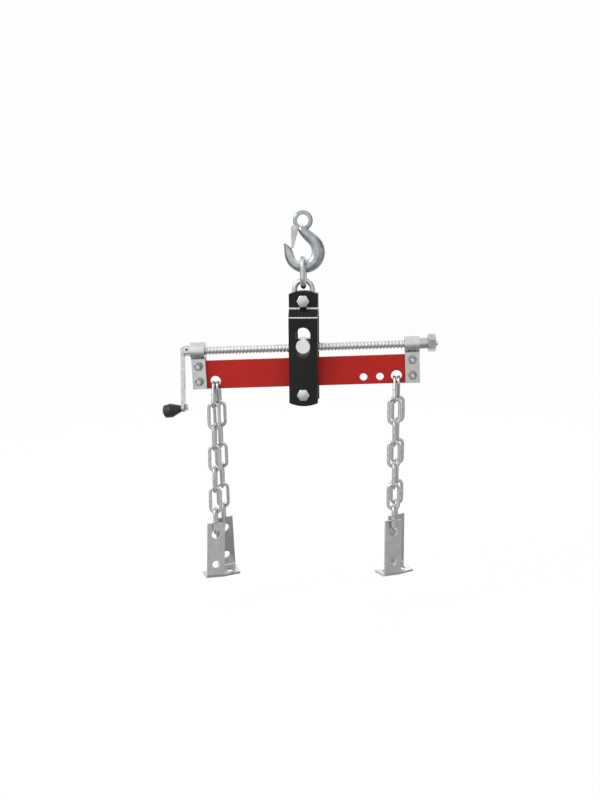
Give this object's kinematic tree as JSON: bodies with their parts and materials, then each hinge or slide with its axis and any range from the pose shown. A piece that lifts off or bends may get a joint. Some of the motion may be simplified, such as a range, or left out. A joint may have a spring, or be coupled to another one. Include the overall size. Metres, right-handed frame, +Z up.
{
  "type": "engine load leveler",
  "caption": "Engine load leveler: hook and slotted side plates carry a flat beam that a cranked lead screw shifts to tilt an engine hung on chains with angle brackets.",
  "frame": {"origin": "centre of the bore of the hook's eye", "axes": "+Z up, +X along the beam away from the crank, -Y towards the viewer"},
  "size_m": [0.4761, 0.0956, 0.6597],
  "materials": {
    "hook_steel": "zinc-plated forging",
    "zinc": "bright zinc plating",
    "black_paint": "gloss black paint",
    "red_paint": "gloss red paint",
    "steel": "plated steel",
    "black_plastic": "moulded grip"
  },
  "bodies": {
    "hook": {"hook": "hook_steel", "latch_pin": "zinc"},
    "latch": {"latch": "zinc"},
    "upper_link": {"upper_link": "zinc"},
    "lower_link": {"lower_link": "zinc"},
    "plates": {"front_plate": "black_paint", "back_plate": "black_paint", "plate_bolts": "zinc", "plate_nuts": "zinc", "spacer": "zinc"},
    "trunnion": {"trunnion_pins": "zinc"},
    "nut": {"screw_nut": "steel"},
    "beam": {"beam": "red_paint", "left_strap": "zinc", "right_strap": "zinc", "left_bush": "steel", "right_bush": "steel", "strap_bolts": "zinc", "strap_nuts": "zinc"},
    "screw": {"lead_screw": "steel", "thrust_collar": "steel", "collar_pin": "steel", "end_nut": "steel", "crank": "steel", "crank_pin": "steel", "knob_bolt": "steel"},
    "knob": {"knob": "black_plastic"},
    "left_front_link_1": {"left_front_link_1": "zinc"},
    "left_front_link_2": {"left_front_link_2": "zinc"},
    "left_front_link_3": {"left_front_link_3": "zinc"},
    "left_front_link_4": {"left_front_link_4": "zinc"},
    "left_front_link_5": {"left_front_link_5": "zinc"},
    "left_front_link_6": {"left_front_link_6": "zinc"},
    "left_front_link_7": {"left_front_link_7": "zinc"},
    "left_front_bracket": {"left_front_bracket": "zinc"},
    "left_back_link_1": {"left_back_link_1": "zinc"},
    "left_back_link_2": {"left_back_link_2": "zinc"},
    "left_back_link_3": {"left_back_link_3": "zinc"},
    "left_back_link_4": {"left_back_link_4": "zinc"},
    "left_back_link_5": {"left_back_link_5": "zinc"},
    "left_back_link_6": {"left_back_link_6": "zinc"},
    "left_back_link_7": {"left_back_link_7": "zinc"},
    "left_back_bracket": {"left_back_bracket": "zinc"},
    "right_front_link_1": {"right_front_link_1": "zinc"},
    "right_front_link_2": {"right_front_link_2": "zinc"},
    "right_front_link_3": {"right_front_link_3": "zinc"},
    "right_front_link_4": {"right_front_link_4": "zinc"},
    "right_front_link_5": {"right_front_link_5": "zinc"},
    "right_front_link_6": {"right_front_link_6": "zinc"},
    "right_front_link_7": {"right_front_link_7": "zinc"},
    "right_front_bracket": {"right_front_bracket": "zinc"},
    "right_back_link_1": {"right_back_link_1": "zinc"},
    "right_back_link_2": {"right_back_link_2": "zinc"},
    "right_back_link_3": {"right_back_link_3": "zinc"},
    "right_back_link_4": {"right_back_link_4": "zinc"},
    "right_back_link_5": {"right_back_link_5": "zinc"},
    "right_back_link_6": {"right_back_link_6": "zinc"},
    "right_back_link_7": {"right_back_link_7": "zinc"},
    "right_back_bracket": {"right_back_bracket": "zinc"}
  },
  "joints": [
    {"name": "latch_swing", "type": "hinge", "parent": "hook", "child": "latch", "pos_m": [-0.0142, 0, -0.013], "axis": [0, -1, 0], "range_deg": [0, 26], "stiffness_Nm_per_rad": 0.02, "springref_deg": -22.92},
    {"name": "upper_link_swing", "type": "hinge", "parent": "hook", "child": "upper_link", "pos_m": [0, 0, -0.079], "axis": [1, 0, 0], "range_deg": [-14, 14]},
    {"name": "lower_link_swing", "type": "hinge", "parent": "upper_link", "child": "lower_link", "pos_m": [0, 0, -0.111], "axis": [0, 1, 0], "range_deg": [-20, 20]},
    {"name": "plates_swing", "type": "hinge", "parent": "lower_link", "child": "plates", "pos_m": [0, 0, -0.1361], "axis": [0, 1, 0], "range_deg": [-20, 20]},
    {"name": "trunnion_lift", "type": "slide", "parent": "plates", "child": "trunnion", "axis": [0, 0, 1], "range_m": [0, 0.0195]},
    {"name": "beam_tip", "type": "hinge", "parent": "trunnion", "child": "nut", "pos_m": [0, 0, -0.213], "axis": [0, 1, 0], "range_deg": [-11, 15]},
    {"name": "beam_travel", "type": "slide", "parent": "nut", "child": "beam", "axis": [0.9994, 0, 0.0349], "range_m": [-0.1002, 0.1002]},
    {"name": "crank_turn", "type": "hinge", "parent": "beam", "child": "screw", "pos_m": [0.00014, 0, -0.217], "axis": [0.9994, 0, 0.0349], "range_deg": [-6000, 6000]},
    {"name": "knob_spin", "type": "hinge", "parent": "screw", "child": "knob", "pos_m": [-0.20833, -0.04375, -0.31816], "axis": [0.978, 0.0748, 0.1947], "continuous": true},
    {"name": "left_front_link_1_swing", "type": "hinge", "parent": "beam", "child": "left_front_link_1", "pos_m": [-0.16106, -0.0008, -0.28907], "axis": [-1, 0, 0], "range_deg": [0, 40]},
    {"name": "left_front_link_2_swing", "type": "hinge", "parent": "left_front_link_1", "child": "left_front_link_2", "pos_m": [-0.16106, -0.00893, -0.32333], "axis": [0, 0.999, -0.0436], "range_deg": [0, 15]},
    {"name": "left_front_link_3_swing", "type": "hinge", "parent": "left_front_link_2", "child": "left_front_link_3", "pos_m": [-0.16125, -0.01061, -0.36179], "axis": [-1, 0.0002, 0.005], "range_deg": [0, 20]},
    {"name": "left_front_link_4_swing", "type": "hinge", "parent": "left_front_link_3", "child": "left_front_link_4", "pos_m": [-0.16145, -0.01229, -0.40025], "axis": [0, 0.999, -0.0436], "range_deg": [0, 15]},
    {"name": "left_front_link_5_swing", "type": "hinge", "parent": "left_front_link_4", "child": "left_front_link_5", "pos_m": [-0.16164, -0.01396, -0.43872], "axis": [-1, 0.0002, 0.005], "range_deg": [0, 20]},
    {"name": "left_front_link_6_swing", "type": "hinge", "parent": "left_front_link_5", "child": "left_front_link_6", "pos_m": [-0.16184, -0.01564, -0.47718], "axis": [0, 0.999, -0.0436], "range_deg": [0, 15]},
    {"name": "left_front_link_7_swing", "type": "hinge", "parent": "left_front_link_6", "child": "left_front_link_7", "pos_m": [-0.16203, -0.01732, -0.51564], "axis": [-1, 0.0002, 0.005], "range_deg": [0, 20]},
    {"name": "left_front_bracket_swing", "type": "hinge", "parent": "left_front_link_7", "child": "left_front_bracket", "pos_m": [-0.16222, -0.019, -0.5541], "axis": [0, 0.999, -0.0436], "range_deg": [0, 15]},
    {"name": "left_back_link_1_swing", "type": "hinge", "parent": "beam", "child": "left_back_link_1", "pos_m": [-0.15406, 0.0008, -0.28907], "axis": [1, 0, 0], "range_deg": [0, 40]},
    {"name": "left_back_link_2_swing", "type": "hinge", "parent": "left_back_link_1", "child": "left_back_link_2", "pos_m": [-0.15406, 0.00893, -0.32333], "axis": [0, -0.999, -0.0436], "range_deg": [0, 15]},
    {"name": "left_back_link_3_swing", "type": "hinge", "parent": "left_back_link_2", "child": "left_back_link_3", "pos_m": [-0.15396, 0.01061, -0.36179], "axis": [1, -0.0001, 0.0026], "range_deg": [0, 20]},
    {"name": "left_back_link_4_swing", "type": "hinge", "parent": "left_back_link_3", "child": "left_back_link_4", "pos_m": [-0.15386, 0.01229, -0.40025], "axis": [0, -0.999, -0.0436], "range_deg": [0, 15]},
    {"name": "left_back_link_5_swing", "type": "hinge", "parent": "left_back_link_4", "child": "left_back_link_5", "pos_m": [-0.15376, 0.01396, -0.43872], "axis": [1, -0.0001, 0.0026], "range_deg": [0, 20]},
    {"name": "left_back_link_6_swing", "type": "hinge", "parent": "left_back_link_5", "child": "left_back_link_6", "pos_m": [-0.15366, 0.01564, -0.47718], "axis": [0, -0.999, -0.0436], "range_deg": [0, 15]},
    {"name": "left_back_link_7_swing", "type": "hinge", "parent": "left_back_link_6", "child": "left_back_link_7", "pos_m": [-0.15356, 0.01732, -0.51564], "axis": [1, -0.0001, 0.0026], "range_deg": [0, 20]},
    {"name": "left_back_bracket_swing", "type": "hinge", "parent": "left_back_link_7", "child": "left_back_bracket", "pos_m": [-0.15346, 0.019, -0.55411], "axis": [0, -0.999, -0.0436], "range_deg": [0, 15]},
    {"name": "right_front_link_1_swing", "type": "hinge", "parent": "beam", "child": "right_front_link_1", "pos_m": [0.15775, -0.0008, -0.27793], "axis": [-1, 0, 0], "range_deg": [0, 40]},
    {"name": "right_front_link_2_swing", "type": "hinge", "parent": "right_front_link_1", "child": "right_front_link_2", "pos_m": [0.15775, -0.00893, -0.3122], "axis": [0, 0.999, -0.0436], "range_deg": [0, 15]},
    {"name": "right_front_link_3_swing", "type": "hinge", "parent": "right_front_link_2", "child": "right_front_link_3", "pos_m": [0.15775, -0.01061, -0.35066], "axis": [-1, 0, -0.0001], "range_deg": [0, 20]},
    {"name": "right_front_link_4_swing", "type": "hinge", "parent": "right_front_link_3", "child": "right_front_link_4", "pos_m": [0.15776, -0.01229, -0.38912], "axis": [0, 0.999, -0.0436], "range_deg": [0, 15]},
    {"name": "right_front_link_5_swing", "type": "hinge", "parent": "right_front_link_4", "child": "right_front_link_5", "pos_m": [0.15776, -0.01396, -0.42758], "axis": [-1, 0, -0.0001], "range_deg": [0, 20]},
    {"name": "right_front_link_6_swing", "type": "hinge", "parent": "right_front_link_5", "child": "right_front_link_6", "pos_m": [0.15777, -0.01564, -0.46605], "axis": [0, 0.999, -0.0436], "range_deg": [0, 15]},
    {"name": "right_front_link_7_swing", "type": "hinge", "parent": "right_front_link_6", "child": "right_front_link_7", "pos_m": [0.15777, -0.01732, -0.50451], "axis": [-1, 0, -0.0001], "range_deg": [0, 20]},
    {"name": "right_front_bracket_swing", "type": "hinge", "parent": "right_front_link_7", "child": "right_front_bracket", "pos_m": [0.15778, -0.019, -0.54297], "axis": [0, 0.999, -0.0436], "range_deg": [0, 15]},
    {"name": "right_back_link_1_swing", "type": "hinge", "parent": "beam", "child": "right_back_link_1", "pos_m": [0.16475, 0.0008, -0.27793], "axis": [1, 0, 0], "range_deg": [0, 40]},
    {"name": "right_back_link_2_swing", "type": "hinge", "parent": "right_back_link_1", "child": "right_back_link_2", "pos_m": [0.16475, 0.00893, -0.3122], "axis": [0, -0.999, -0.0436], "range_deg": [0, 15]},
    {"name": "right_back_link_3_swing", "type": "hinge", "parent": "right_back_link_2", "child": "right_back_link_3", "pos_m": [0.16465, 0.01061, -0.35066], "axis": [1, 0.0001, -0.0026], "range_deg": [0, 20]},
    {"name": "right_back_link_4_swing", "type": "hinge", "parent": "right_back_link_3", "child": "right_back_link_4", "pos_m": [0.16455, 0.01229, -0.38912], "axis": [0, -0.999, -0.0436], "range_deg": [0, 15]},
    {"name": "right_back_link_5_swing", "type": "hinge", "parent": "right_back_link_4", "child": "right_back_link_5", "pos_m": [0.16445, 0.01396, -0.42758], "axis": [1, 0.0001, -0.0026], "range_deg": [0, 20]},
    {"name": "right_back_link_6_swing", "type": "hinge", "parent": "right_back_link_5", "child": "right_back_link_6", "pos_m": [0.16435, 0.01564, -0.46605], "axis": [0, -0.999, -0.0436], "range_deg": [0, 15]},
    {"name": "right_back_link_7_swing", "type": "hinge", "parent": "right_back_link_6", "child": "right_back_link_7", "pos_m": [0.16425, 0.01732, -0.50451], "axis": [1, 0.0001, -0.0026], "range_deg": [0, 20]},
    {"name": "right_back_bracket_swing", "type": "hinge", "parent": "right_back_link_7", "child": "right_back_bracket", "pos_m": [0.16415, 0.019, -0.54297], "axis": [0, -0.999, -0.0436], "range_deg": [0, 15]}
  ],
  "couplings": [
    {"joint": "beam_travel", "follows": "crank_turn", "m_per_rad": 0.00095493}
  ]
}
